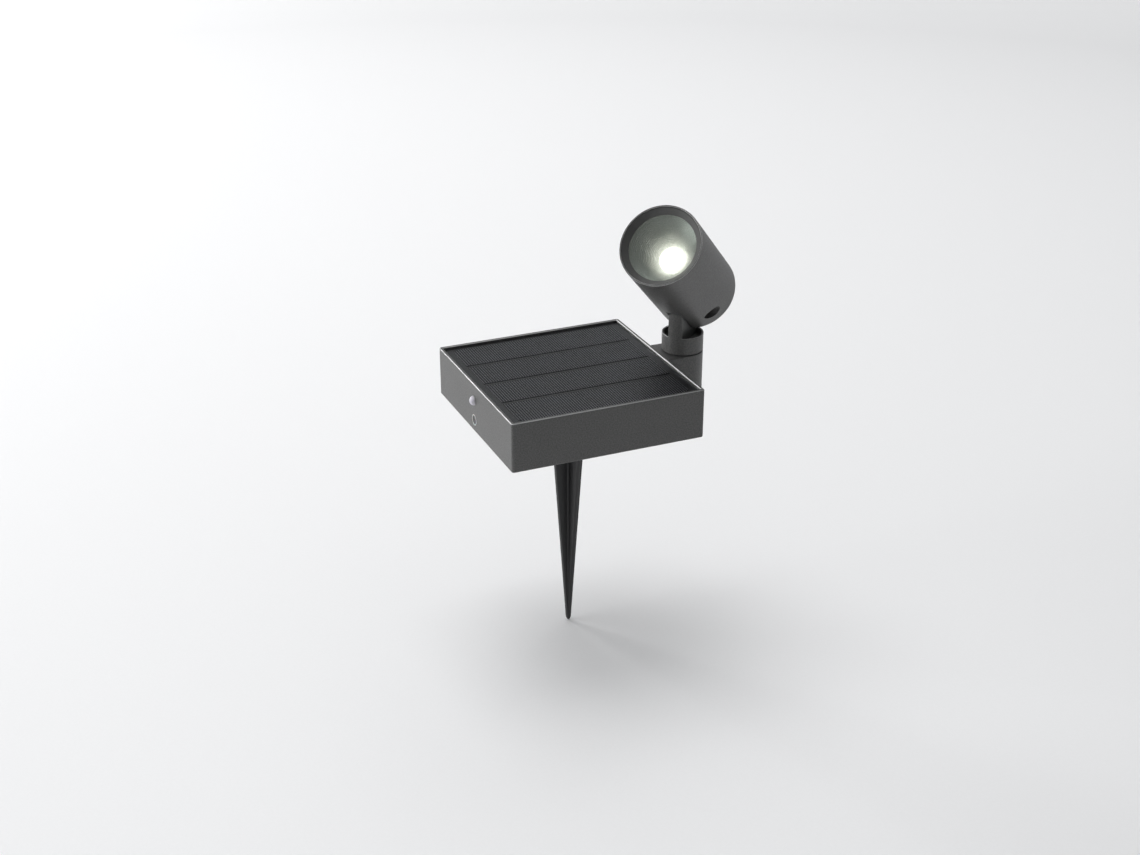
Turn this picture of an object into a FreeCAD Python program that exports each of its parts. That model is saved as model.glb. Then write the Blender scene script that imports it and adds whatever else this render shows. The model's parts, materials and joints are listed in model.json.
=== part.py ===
import FreeCAD, Part
import math
import os
import re
import Sketcher

# Solar garden light: a square solar housing on a cross-shaped ground spike, with a
# round lamp head that swivels on a lug at the back of the housing and tilts on a screw.
#
# Frame: +Z up, origin in the middle of the housing's underside, on the spike's axis.
# The sensor face of the housing looks along -Y and the lamp stands at its +Y side.
# Neck frame: origin on the swivel axis at the underside's height, -Y is the way the
# lamp looks and X is parallel to the tilt screw.
# Head frame: origin on the head's axis beside the tilt screw, +Z is the way the lamp
# shines and X is parallel to the tilt screw.

DIMENSIONS = [
    # housing
    ("box_width", 150.0, "square housing, outside"),
    ("box_height", 38.0, "underside to rim"),
    ("corner_round", 2.0, "upright corners"),
    ("base_round", 1.2, "lower outside edge"),
    ("rim_break", 0.5, "chamfer round the rim"),
    ("recess_width", 145.0, "panel recess and cover seat, inside the outer wall"),
    ("inner_width", 141.0, "main cavity"),
    ("window_width", 133.0, "opening below the panel"),
    ("seat_depth", 4.0, "cover and gasket together"),
    ("ledge_low", 30.0, "underside of the ledge that carries the panel"),
    ("ledge_top", 33.0, "top of that ledge"),
    ("boss_inset", 65.0, "cover screws, from the middle"),
    ("boss_width", 12.0, "square boss in each corner"),
    # lug
    ("lug_width", 31.5, "same width as the neck"),
    ("lug_reach", 94.0, "swivel axis from the middle of the housing"),
    ("lug_seat", 13.5, "radius of the cover seat in the lug"),
    ("lug_bore", 11.5, "radius of the cavity in the lug"),
    # solar panel
    ("panel_width", 144.4, "clear cover and backing board"),
    ("seal_thick", 0.6, "foam tape under the panel"),
    ("backing_thick", 2.0, "backing board"),
    ("cell_thick", 0.4, "solar cells"),
    ("glazing_thick", 0.6, "clear cover sheet"),
    ("strip_count", 4, "strips of cell side by side"),
    ("strip_pitch", 35.6, "strip to strip"),
    ("strip_width", 33.0, "one strip across"),
    ("strip_length", 133.0, "one strip along Y"),
    ("cell_cut", 4.0, "cut-off outer corners of the cell array"),
    # bottom cover
    ("cover_width", 144.6, "bottom cover"),
    ("cover_tongue", 13.3, "radius of the cover's tongue under the lug"),
    ("cover_thick", 3.0, "bottom cover"),
    ("gasket_outer", 144.4, "gasket, outside"),
    ("gasket_inner", 141.2, "gasket, inside"),
    ("gasket_tongue", 13.2, "gasket radius in the lug, outside"),
    ("gasket_lug", 11.6, "gasket radius in the lug, inside"),
    ("play", 0.05, "radial play of threads and running fits"),
    ("screw_radius", 1.5, "cover and spreader screws"),
    ("screw_length", 12.0, "cover screws below the head"),
    ("sink_radius", 3.0, "countersunk head"),
    ("sink_height", 1.6, "countersunk head"),
    # ground spike
    ("stud_radius", 4.0, "threaded stud"),
    ("stud_low", -22.0, "lower end of the stud"),
    ("stud_top", 14.0, "upper end of the stud"),
    ("insert_radius", 6.0, "threaded insert"),
    ("insert_top", 15.0, "upper end of the insert"),
    ("hub_radius", 21.0, "hub inside the cover"),
    ("hub_top", 18.0, "hub inside the cover"),
    ("socket_radius", 17.5, "recess for the spike's collar"),
    ("collar_radius", 17.0, "spike collar"),
    ("collar_low", -10.0, "underside of the collar"),
    ("rib_thick", 3.0, "spike ribs"),
    ("rib_reach", 15.4, "half width of a rib below the collar"),
    ("rib_end", 1.6, "half width of a rib above the point"),
    ("rib_low", -174.0, "where the point starts"),
    ("spike_tip", -179.0, "point"),
    ("spike_turn", -15.5, "degrees that the screwed-in spike is turned"),
    # electronics in the housing
    ("cell_radius", 9.2, "battery cell"),
    ("cell_length", 65.0, "battery cell"),
    ("cell_height", 14.0, "axis of the battery cells"),
    ("cell_pitch", 19.4, "battery cells side by side"),
    ("battery_y", 47.7, "middle of the battery"),
    ("cradle_length", 77.0, "battery cradle"),
    ("cradle_width", 42.0, "battery cradle"),
    ("cradle_height", 14.0, "battery cradle"),
    ("contact_thick", 0.8, "contact strips"),
    ("board_thick", 1.6, "circuit boards"),
    ("board_length", 60.0, "control board"),
    ("board_width", 30.0, "control board"),
    ("board_y", -40.0, "middle of the control board"),
    ("board_low", 10.0, "underside of the control board"),
    ("board_hole_x", 26.0, "control board screws"),
    ("board_hole_y", 11.0, "control board screws"),
    ("post_radius", 3.0, "posts under the control board"),
    ("small_screw", 1.25, "control board and emitter screws"),
    ("sensor_face", -63.4, "front of the sensor board"),
    ("sensor_width", 27.0, "sensor board"),
    ("sensor_low", 5.0, "lower edge of the sensor board"),
    ("sensor_high", 29.0, "upper edge of the sensor board"),
    ("sensor_screw_x", 10.0, "sensor board screws"),
    ("sensor_screw_z", 17.0, "sensor board screws"),
    ("tiny_screw", 1.0, "sensor board screws"),
    ("tiny_length", 7.0, "sensor board screws"),
    ("tiny_hole", 9.0, "holes for the sensor board screws"),
    ("small_length", 6.0, "control board screws"),
    ("connector_pitch", 11.0, "wire connectors side by side"),
    ("connector_width", 7.5, "wire connectors"),
    ("connector_depth", 6.0, "wire connectors"),
    ("connector_wall", 0.75, "wire connectors"),
    ("connector_y", 11.0, "wire connectors, from the middle of the board"),
    ("capacitor_radius", 4.0, "capacitors"),
    ("capacitor_height", 9.0, "capacitors"),
    ("capacitor_pitch", 10.0, "capacitors side by side"),
    ("inductor_radius", 5.0, "inductor"),
    ("part_x", 12.0, "capacitors and inductor, from the middle of the board"),
    ("part_y", 8.0, "capacitors and inductor, from the middle of the board"),
    # motion sensor
    ("dome_z", 25.0, "height of the white dome"),
    ("dome_radius", 3.6, "white dome"),
    ("dome_wall", 0.6, "wall of the dome"),
    ("dome_reach", 3.2, "how far the dome stands out"),
    ("flange_radius", 5.0, "flanges of dome and button, inside the wall"),
    ("flange_thick", 0.8, "flanges of dome and button"),
    ("can_length", 5.4, "metal can of the sensor"),
    ("can_inset", 0.9, "can smaller than the dome"),
    ("can_flange", 1.2, "flange of the can"),
    ("wall_drill", 8.0, "length of the holes through the front wall"),
    # power button
    ("button_z", 9.4, "height of the button"),
    ("ring_radius", 4.2, "light ring round the button"),
    ("ring_depth", 1.2, "light ring, along Y"),
    ("button_bore", 3.6, "hole for the button"),
    ("button_radius", 3.52, "button cap"),
    ("stem_radius", 1.5, "button stem"),
    ("switch_width", 6.0, "tact switch"),
    ("switch_depth", 3.4, "tact switch"),
    ("plunger_radius", 1.7, "switch plunger"),
    ("plunger_length", 3.0, "switch plunger"),
    ("plunger_stand", 1.6, "switch plunger, out of the switch"),
    ("plunger_well", 2.2, "well in the switch for the plunger"),
    ("seal_round", 0.45, "section of the button's O-ring"),
    ("groove_width", 1.1, "groove for the O-ring"),
    ("groove_depth", 0.9, "groove for the O-ring"),
    # neck and swivel
    ("head_turn", 40.0, "degrees that the neck is turned about the swivel"),
    ("neck_radius", 15.75, "drum of the neck"),
    ("neck_low", 38.8, "underside of the neck"),
    ("neck_floor", 47.5, "floor of the two pockets"),
    ("neck_rim", 52.2, "top of the drum"),
    ("neck_wall", 1.5, "wall of the drum"),
    ("tongue_thick", 11.0, "central tongue"),
    ("tongue_rise", 10.0, "tongue above the tilt screw"),
    ("glide_radius", 14.3, "glide ring in the gap between lug and neck"),
    ("bush_radius", 6.0, "swivel bush"),
    ("bush_flange", 8.5, "swivel bush"),
    ("bush_lip", 0.8, "flange of the swivel bush"),
    ("bush_stand", 0.3, "swivel bush above the lug"),
    ("bush_gap", 0.4, "between the bush and the glide ring"),
    ("washer_low", 2.0, "underside of the spring washer below the ledge"),
    ("tube_radius", 4.0, "hollow swivel tube"),
    ("tube_bore", 2.75, "hollow swivel tube"),
    ("tube_low", 21.0, "lower end of the swivel tube"),
    ("tube_top", 48.0, "upper end of the swivel tube"),
    ("nut_height", 6.0, "swivel nut"),
    ("nut_radius", 7.5, "swivel nut, across corners"),
    ("lead_channel", 2.75, "channel for the lead in the tongue"),
    ("lead_lean", 15.0, "degrees that the channel leans forward"),
    ("lead_radius", 2.0, "two-core lead"),
    # lamp head
    ("pivot_height", 71.6, "tilt screw above the underside"),
    ("head_elevation", 39.5, "degrees that the lamp looks up"),
    ("pivot_drop", 19.7, "tilt screw below the head's axis"),
    ("head_radius", 31.2, "lamp head"),
    ("head_front", 75.9, "front rim from the tilt screw"),
    ("head_back", -14.6, "back from the tilt screw"),
    ("head_bore", 28.7, "inside of the head"),
    ("head_floor", 2.5, "back wall of the head"),
    ("head_round", 1.5, "edge of the back"),
    ("edge_break", 0.3, "small rounds on the head and the neck"),
    ("rim_bore", 30.0, "thin front rim, inside"),
    ("bezel_depth", 3.5, "bezel below the rim"),
    ("bezel_thick", 1.5, "bezel"),
    ("bezel_rise", 0.8, "bezel's outer edge below the rim"),
    ("bezel_lip", 0.5, "bezel's inner edge"),
    ("mouth_radius", 25.4, "opening of the bezel"),
    ("glass_thick", 3.0, "front glass"),
    ("glass_radius", 29.8, "front glass and bezel"),
    ("seal_height", 1.0, "glass seal"),
    ("slot_width", 12.0, "slot for the tongue"),
    ("slot_front", 16.1, "front end of the slot from the tilt screw"),
    ("slot_roof", -3.6, "roof of the slot from the head's axis"),
    ("slot_wall", 2.5, "walls round the slot"),
    ("pivot_boss", 8.0, "boss round the tilt screw"),
    ("access_radius", 5.2, "access hole for the tilt screw"),
    ("pivot_radius", 2.5, "tilt screw"),
    ("pivot_head", 4.25, "head of the tilt screw"),
    ("pivot_cap", 5.0, "head of the tilt screw, along the screw"),
    ("pivot_seat", 12.0, "seat of the screw head from the middle"),
    ("nut_seat", 11.0, "seat of the locking nut from the middle"),
    ("nut_pocket", 5.0, "depth of the pocket that holds the nut"),
    ("lock_nut", 4.5, "locking nut, across corners"),
    ("washer_thick", 0.4, "friction washers"),
    ("washer_radius", 5.5, "friction washers"),
    ("spreader_thick", 4.0, "heat spreader"),
    ("spreader_top", 46.3, "front of the heat spreader"),
    ("spreader_ring", 24.4, "spreader screws from the axis"),
    ("spreader_boss", 5.0, "bosses for the spreader screws"),
    ("boss_length", 15.0, "bosses for the spreader screws"),
    ("emitter_board", 18.0, "emitter board"),
    ("emitter_radius", 9.0, "round emitter"),
    ("emitter_thick", 1.0, "round emitter"),
    ("emitter_screw_x", 14.8, "emitter screws, from the axis"),
    ("emitter_screw_length", 5.0, "emitter screws"),
    ("spreader_screw_length", 10.0, "heat spreader screws"),
    ("reflector_mouth", 27.4, "reflector at the glass"),
    ("reflector_throat", 9.4, "reflector at the emitter"),
    ("reflector_wall", 1.0, "reflector"),
    ("reflector_flare", 1.25, "power by which the reflector widens"),
    ("reflector_foot", 0.4, "reflector's throat above the emitter board"),
    ("reflector_gap", 0.2, "reflector's mouth below the glass"),
    ("spreader_lead", -20.0, "hole for the lead in the heat spreader"),
    ("grommet_hole", 3.5, "hole for the lead grommet"),
    ("grommet_y", -8.2, "grommet from the head's axis"),
    ("grommet_lip", 0.7, "lips of the lead grommet, along the lead"),
    ("grommet_flange", 0.9, "lips of the lead grommet, outward"),
]

doc = FreeCAD.newDocument("solar_garden_light")
sheet = doc.addObject("Spreadsheet::Sheet", "dims")
for row, (alias, value, note) in enumerate(DIMENSIONS, 1):
    sheet.set("A%d" % row, note)
    sheet.set("B%d" % row, str(value))
    sheet.setAlias("B%d" % row, alias)
doc.recompute()

ORIGIN = FreeCAD.Vector(0, 0, 0)
AXIS_TURNS = {
    "z": FreeCAD.Rotation(),
    "-z": FreeCAD.Rotation(FreeCAD.Vector(1, 0, 0), 180),
    "x": FreeCAD.Rotation(FreeCAD.Vector(0, 1, 0), 90),
    "-x": FreeCAD.Rotation(FreeCAD.Vector(0, 1, 0), -90),
    "y": FreeCAD.Rotation(FreeCAD.Vector(1, 0, 0), -90),
    "-y": FreeCAD.Rotation(FreeCAD.Vector(1, 0, 0), 90),
}
OPPOSITE = {"z": "-z", "-z": "z", "x": "-x", "-x": "x", "y": "-y", "-y": "y"}
CORNERS = [(1, 1), (-1, 1), (-1, -1), (1, -1)]
pieces = []


def cells(text):
    """Turn plain aliases into references to the sheet."""
    return re.sub(r"[a-z][a-z_]*", lambda word: "dims." + word.group(), str(text))


def size(alias):
    return float(sheet.get(alias))


def spin(degrees):
    return FreeCAD.Rotation(FreeCAD.Vector(0, 0, 1), degrees)


def lean(degrees):
    return FreeCAD.Rotation(FreeCAD.Vector(1, 0, 0), degrees)


BOX = FreeCAD.Placement()
SPIKE = FreeCAD.Placement(ORIGIN, spin(size("spike_turn")))
NECK = FreeCAD.Placement(FreeCAD.Vector(0, size("lug_reach"), 0), spin(size("head_turn")))
TILT = FreeCAD.Placement(FreeCAD.Vector(0, 0, size("pivot_height")),
                         lean(90 - size("head_elevation")))
HEAD = NECK * TILT * FreeCAD.Placement(FreeCAD.Vector(0, size("pivot_drop"), 0), spin(0))


# --- solids and booleans -------------------------------------------------------------

def drive(item, at, **sizes):
    """Bind an object's sizes and its place to cells of the sheet."""
    for name, text in sizes.items():
        item.setExpression(name, cells(text))
    for name, text in zip("xyz", at):
        item.setExpression(".Placement.Base." + name, cells(text))
    return item


def block(width, depth, height, x="0", y="0", z="0"):
    """A box centred on x and y that stands on z."""
    corner = ("(%s) - (%s) / 2" % (x, width), "(%s) - (%s) / 2" % (y, depth), z)
    item = doc.addObject("Part::Box", "Block")
    return drive(item, corner, Length=width, Width=depth, Height=height)


def rod(radius, length, at=("0", "0", "0"), axis="z"):
    """A cylinder that starts at a point and runs along an axis."""
    item = doc.addObject("Part::Cylinder", "Rod")
    item.Placement.Rotation = AXIS_TURNS[axis]
    return drive(item, at, Radius=radius, Height=length)


def cone(start, end, length, at, axis="z"):
    item = doc.addObject("Part::Cone", "Cone")
    item.Placement.Rotation = AXIS_TURNS[axis]
    return drive(item, at, Radius1=start, Radius2=end, Height=length)


def hexagon(circle, length, at, axis="z"):
    item = doc.addObject("Part::Prism", "Hexagon")
    item.Polygon = 6
    item.Placement.Rotation = AXIS_TURNS[axis]
    return drive(item, at, Circumradius=circle, Height=length)


def fuse(*solids):
    item = doc.addObject("Part::MultiFuse", "Fusion")
    item.Shapes = list(solids)
    return item


def common(*solids):
    item = doc.addObject("Part::MultiCommon", "Common")
    item.Shapes = list(solids)
    return item


def cut(base, *tools):
    item = doc.addObject("Part::Cut", "Cut")
    item.Base = base
    item.Tool = tools[0] if len(tools) == 1 else fuse(*tools)
    return item


def edges_where(solid, test):
    doc.recompute()
    found = [number for number, edge in enumerate(solid.Shape.Edges, 1) if test(edge)]
    if not found:
        raise RuntimeError("no edge to treat on " + solid.Label)
    return found


def rounded(solid, radius, test):
    item = doc.addObject("Part::Fillet", "Rounded")
    item.Base = solid
    item.Edges = [(number, size(radius), size(radius)) for number in edges_where(solid, test)]
    return item


def chamfered(solid, depth, test):
    item = doc.addObject("Part::Chamfer", "Chamfered")
    item.Base = solid
    item.Edges = [(number, size(depth), size(depth)) for number in edges_where(solid, test)]
    return item


def upright(edge):
    """Is the edge straight and parallel to Z?"""
    box = edge.BoundBox
    return box.XLength < 1e-6 and box.YLength < 1e-6 and box.ZLength > 1e-6


def level_at(edge, height):
    box = edge.BoundBox
    return box.ZLength < 1e-6 and abs(box.ZMin - height) < 1e-6


def piece(item, label, frame=BOX):
    """Name a finished sub-part and put it in its place; a plain solid keeps its own."""
    item.Label = label
    if frame is not None:
        item.Placement = frame
    pieces.append(item)
    return item


def group(label, solids, frame=BOX):
    """Several equal solids that share one node."""
    item = doc.addObject("Part::Compound", "Group")
    item.Links = solids
    return piece(item, label, frame)


# --- sketched pieces -----------------------------------------------------------------

def sketch_on(body, role):
    plane = next(item for item in body.Origin.OriginFeatures if item.Role == role)
    sketch = body.newObject("Sketcher::SketchObject", body.Name + "_sketch")
    sketch.AttachmentSupport = [(plane, "")]
    sketch.MapMode = "FlatFace"
    return sketch


def fix_point(sketch, line, point, x, y):
    """Hold a point of the sketch at a place given by the sheet."""
    for kind, text in (("DistanceX", x), ("DistanceY", y)):
        number = sketch.addConstraint(Sketcher.Constraint(kind, -1, 1, line, point, 1.0))
        sketch.setExpression("Constraints[%d]" % number, cells(text))


def outline(sketch, corners):
    """A closed polygon whose corners are (x, y) pairs of expressions."""
    count = len(corners)
    first = sketch.GeometryCount
    ring = [spin(360.0 * step / count).multVec(FreeCAD.Vector(10, 0, 0)) for step in range(count)]
    for step in range(count):
        sketch.addGeometry(Part.LineSegment(ring[step], ring[(step + 1) % count]), False)
    for step in range(count):
        following = first + (step + 1) % count
        sketch.addConstraint(Sketcher.Constraint("Coincident", first + step, 2, following, 1))
        fix_point(sketch, first + step, 1, *corners[step])


def ring_hole(sketch, radius, x="0", y="0"):
    circle = sketch.addGeometry(Part.Circle(ORIGIN, FreeCAD.Vector(0, 0, 1), 1.0), False)
    number = sketch.addConstraint(Sketcher.Constraint("Radius", circle, 1.0))
    sketch.setExpression("Constraints[%d]" % number, cells(radius))
    fix_point(sketch, circle, 3, x, y)


def rectangle(width, depth, x="0", y="0"):
    return [("(%s) + (%s) * %g" % (x, width, 0.5 * across), "(%s) + (%s) * %g" % (y, depth, 0.5 * along))
            for across, along in CORNERS]


def turned(label, corners, frame=BOX, axis="z"):
    """A turned piece: its half section, as (radius, height) pairs, spun about an axis."""
    body = doc.addObject("PartDesign::Body", label)
    sketch = sketch_on(body, "XZ_Plane")
    outline(sketch, corners)
    spun = body.newObject("PartDesign::Revolution", label + "_turn")
    spun.Profile = sketch
    spun.ReferenceAxis = (sketch, ["V_Axis"])
    spun.Angle = 360
    return piece(body, label, frame * FreeCAD.Placement(ORIGIN, AXIS_TURNS[axis]))


def sheet_piece(label, low, thick, corners, holes=(), frame=BOX):
    """A flat piece, padded upwards from a height, with round holes."""
    body = doc.addObject("PartDesign::Body", label)
    sketch = sketch_on(body, "XY_Plane")
    sketch.setExpression(".AttachmentOffset.Base.z", cells(low))
    outline(sketch, corners)
    for hole in holes:
        ring_hole(sketch, *hole)
    pad = body.newObject("PartDesign::Pad", label + "_pad")
    pad.Profile = sketch
    pad.setExpression("Length", cells(thick))
    return piece(body, label, frame)


# --- fasteners -----------------------------------------------------------------------

def shifted(at, axis, distance):
    sign = "-" if axis.startswith("-") else "+"
    letter = axis[-1]
    return tuple("(%s) %s (%s)" % (text, sign, distance) if name == letter else text
                 for name, text in zip("xyz", at))


def screw(radius, length, head_radius, head_height, at, axis, sunk=False):
    """A socket screw whose head stands on a point and looks along the axis."""
    shank = rod(radius, length, at, OPPOSITE[axis])
    if sunk:
        head = cone(radius, head_radius, head_height, at, axis)
    else:
        head = rod(head_radius, head_height, at, axis)
    socket_at = shifted(at, axis, "(%s) * 0.4" % head_height)
    socket = hexagon("(%s) * 0.5" % head_radius, head_height, socket_at, axis)
    return cut(fuse(shank, head), socket)


def nut(circle, hole, height, at, axis="z"):
    return cut(hexagon(circle, height, at, axis), rod(hole, height, at, axis))


# --- housing -------------------------------------------------------------------------

def keyhole_slab(width, radius, low, high):
    """A square slab with a round-ended tongue that reaches under the lug."""
    height = "(%s) - (%s)" % (high, low)
    square = block(width, width, height, z=low)
    tongue = block("(%s) * 2" % radius, "lug_reach", height, y="lug_reach / 2", z=low)
    end = rod(radius, height, ("0", "lug_reach", low))
    return fuse(square, tongue, end)


def corner_points(inset):
    return [("%s * %d" % (inset, across), "%s * %d" % (inset, along)) for across, along in CORNERS]


def make_housing():
    half = size("box_width") / 2

    def box_corner(edge):
        point = edge.BoundBox.Center
        return upright(edge) and abs(abs(point.x) - half) < 1e-6 and abs(abs(point.y) - half) < 1e-6

    outside = keyhole_slab("box_width", "lug_width / 2", "0", "box_height")
    outside = rounded(outside, "corner_round", box_corner)
    outside = rounded(outside, "base_round", lambda edge: level_at(edge, 0))
    outside = chamfered(outside, "rim_break", lambda edge: level_at(edge, size("box_height")))
    hollow = [
        keyhole_slab("recess_width", "lug_seat", "-1", "seat_depth"),
        keyhole_slab("inner_width", "lug_bore", "seat_depth - 1", "ledge_low"),
        block("window_width", "window_width", "ledge_top - ledge_low + 2", z="ledge_low - 1"),
        block("recess_width", "recess_width", "box_height", z="ledge_top"),
        rod("bush_radius", "box_height", ("0", "lug_reach", "ledge_low - 1")),
    ]
    shell = cut(outside, *hollow)

    def inner_rim(edge):
        box = edge.BoundBox
        return level_at(edge, size("box_height")) and max(
            abs(box.XMin), abs(box.XMax), abs(box.YMin), abs(box.YMax)) < half - size("rim_break")

    shell = chamfered(shell, "rim_break", inner_rim)
    bosses = []
    screw_holes = []
    for x, y in corner_points("boss_inset"):
        bosses.append(block("boss_width", "boss_width", "ledge_low - seat_depth", x, y, "seat_depth"))
        bosses.append(rod("boss_width / 2 - 1", "seat_depth", (x, y, "cover_thick")))
        screw_holes.append(rod("screw_radius + play", "screw_length", (x, y, "cover_thick - 1")))
    wall = "-inner_width / 2"
    for side in (-1, 1):
        x = "sensor_screw_x * %d" % side
        start = (x, wall + " - 1", "sensor_screw_z")
        bosses.append(rod("post_radius", "sensor_face + inner_width / 2 + 1", start, "y"))
        screw_holes.append(rod("tiny_screw + play", "tiny_hole", start, "y"))
    front = "-box_width / 2"
    front_holes = [
        rod("dome_radius + play", "wall_drill", ("0", front + " - 1", "dome_z"), "y"),
        rod("button_bore", "wall_drill", ("0", front + " - 1", "button_z"), "y"),
        rod("ring_radius", "ring_depth + 1", ("0", front + " - 1", "button_z"), "y"),
    ]
    piece(cut(fuse(shell, *bosses), *screw_holes, *front_holes), "housing")


def make_panel():
    tape = block("panel_width", "panel_width", "seal_thick", z="ledge_top")
    piece(cut(tape, block("window_width", "window_width", "box_height")), "panel_seal")
    board = rectangle("panel_width", "panel_width")
    backing_low = "ledge_top + seal_thick"
    sheet_piece("panel_backing", backing_low, "backing_thick", board)
    cell_low = backing_low + " + backing_thick"
    sheet_piece("panel_cover", cell_low + " + cell_thick", "glazing_thick", board)
    strips = []
    last = int(size("strip_count")) - 1
    for number in range(last + 1):
        x = "strip_pitch * (%d - (strip_count - 1) / 2)" % number
        strip = block("strip_width", "strip_length", "cell_thick", x, "0", cell_low)
        edge_x = (number - last / 2) * (size("strip_pitch") + size("strip_width") / max(last, 1))

        def outer_corner(edge, limit=edge_x):
            return upright(edge) and abs(edge.BoundBox.Center.x - limit) < 1.0

        if number in (0, last):
            strip = chamfered(strip, "cell_cut", outer_corner)
        strips.append(strip)
    group("solar_cells", strips)


def make_bottom_cover():
    plate = keyhole_slab("cover_width", "cover_tongue", "0", "cover_thick")
    solids = [plate, rod("hub_radius", "hub_top")]
    holes = [
        rod("socket_radius", "cover_thick + 1", ("0", "0", "-1")),
        rod("insert_radius", "insert_top", ("0", "0", "0")),
    ]
    screws = []
    for x, y in corner_points("boss_inset"):
        holes.append(rod("screw_radius + play * 2", "cover_thick + 2", (x, y, "-1")))
        holes.append(cone("sink_radius + play * 2", "screw_radius + play * 2", "sink_height", (x, y, "0")))
        screws.append(screw("screw_radius", "screw_length", "sink_radius", "sink_height",
                            (x, y, "sink_height"), "-z", sunk=True))
    for x, y in board_screw_points():
        solids.append(rod("post_radius", "board_low - cover_thick + 1", (x, y, "cover_thick - 1")))
        holes.append(rod("small_screw + play", "board_low", (x, y, "cover_thick + 1")))
    piece(cut(fuse(*solids), *holes), "bottom_cover")
    group("cover_screws", screws)
    outer = keyhole_slab("gasket_outer", "gasket_tongue", "cover_thick", "seat_depth")
    inner = keyhole_slab("gasket_inner", "gasket_lug", "cover_thick - 1", "seat_depth + 1")
    piece(cut(outer, inner), "bottom_gasket")


def make_spike():
    body = doc.addObject("PartDesign::Body", "ground_spike")
    collar = sketch_on(body, "XY_Plane")
    collar.setExpression(".AttachmentOffset.Base.z", cells("collar_low"))
    ring_hole(collar, "collar_radius")
    pad = body.newObject("PartDesign::Pad", "collar_pad")
    pad.Profile = collar
    pad.setExpression("Length", cells("cover_thick - collar_low"))
    profile = [("-rib_reach", "collar_low + 1"), ("-rib_reach", "collar_low"), ("-rib_end", "rib_low"),
               ("0", "spike_tip"), ("rib_end", "rib_low"), ("rib_reach", "collar_low"),
               ("rib_reach", "collar_low + 1")]
    for role in ("XZ_Plane", "YZ_Plane"):
        rib = sketch_on(body, role)
        outline(rib, profile)
        pad = body.newObject("PartDesign::Pad", "rib_pad")
        pad.Profile = rib
        pad.Midplane = True
        pad.setExpression("Length", cells("rib_thick"))
    core = body.newObject("PartDesign::AdditiveCone", "stud_boss")
    drive(core, ("0", "0", "stud_low * 2"), Radius1="rib_thick / 2", Radius2="collar_radius / 2",
          Height="collar_low - stud_low * 2")
    bore = body.newObject("PartDesign::SubtractiveCylinder", "stud_bore")
    drive(bore, ("0", "0", "stud_low"), Radius="stud_radius + play", Height="cover_thick - stud_low + 1")
    piece(body, "ground_spike", SPIKE)
    turned("spike_insert", [("stud_radius + play", "cover_thick"), ("insert_radius", "cover_thick"),
                            ("insert_radius", "insert_top"), ("stud_radius + play", "insert_top")])
    turned("spike_stud", [("0", "stud_low"), ("stud_radius - 0.6", "stud_low"),
                          ("stud_radius", "stud_low + 0.6"), ("stud_radius", "stud_top - 0.6"),
                          ("stud_radius - 0.6", "stud_top"), ("0", "stud_top")])


# --- what the housing holds ----------------------------------------------------------

def make_battery():
    half_pitch = "cell_pitch / 2"
    tray = block("cradle_length", "cradle_width", "cradle_height", "0", "battery_y", "cover_thick")
    grooves = []
    batteries = []
    for side in (-1, 1):
        y = "battery_y + %s * %d" % (half_pitch, side)
        start = ("-cell_length / 2", y, "cell_height")
        groove_start = ("-cell_length / 2 - 2", y, "cell_height")
        grooves.append(rod("cell_radius + play * 2", "cell_length + 4", groove_start, "x"))
        grooves.append(block("cell_length + 4", "cell_radius * 2 + play * 4", "cell_radius * 2",
                             "0", y, "cell_height"))
        cap_start = ("cell_length / 2 - 0.8", y, "cell_height")
        barrel = rod("cell_radius", "cell_length - 0.8", start, "x")
        batteries.append(fuse(barrel, rod("cell_radius * 0.4", "0.8", cap_start, "x")))
    contacts = []
    for side in (-1, 1):
        x = "(cell_length / 2 + 1) * %d" % side
        span = "cell_pitch + cell_radius"
        grooves.append(block("2", span, "cradle_height", x, "battery_y", "cover_thick + 3"))
        contacts.append(block("contact_thick", span + " - 1", "cradle_height - 4", x, "battery_y",
                              "cover_thick + 3.2"))
    piece(cut(tray, *grooves), "battery_cradle")
    group("battery_cells", batteries)
    group("battery_contacts", contacts)


def board_screw_points():
    return [("board_hole_x * %d" % across, "board_y + board_hole_y * %d" % along)
            for across, along in CORNERS]


def make_control_board():
    holes = [("small_screw + play * 2", x, y) for x, y in board_screw_points()]
    sheet_piece("control_board", "board_low", "board_thick",
                rectangle("board_length", "board_width", y="board_y"), holes)
    top = "board_low + board_thick"
    screws = [screw("small_screw", "small_length", "small_screw * 1.8", "small_screw", (x, y, top), "z")
              for x, y in board_screw_points()]
    group("board_screws", screws)
    connectors = []
    for number in (-1, 0, 1):
        x = "connector_pitch * %d" % number
        shell = block("connector_width", "connector_depth", "connector_depth", x,
                      "board_y + connector_y", top)
        mouth = block("connector_width - connector_wall * 2", "connector_depth - connector_wall * 2",
                      "connector_depth", x, "board_y + connector_y", top + " + connector_wall * 3")
        connectors.append(cut(shell, mouth))
    group("wire_connectors", connectors)
    capacitors = [rod("capacitor_radius", "capacitor_height",
                      ("capacitor_pitch * %d - part_x" % number, "board_y - part_y", top))
                  for number in (0, 1)]
    group("board_capacitors", capacitors)
    piece(rod("inductor_radius", "inductor_radius", ("part_x", "board_y - part_y", top)),
          "board_inductor", None)


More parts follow.
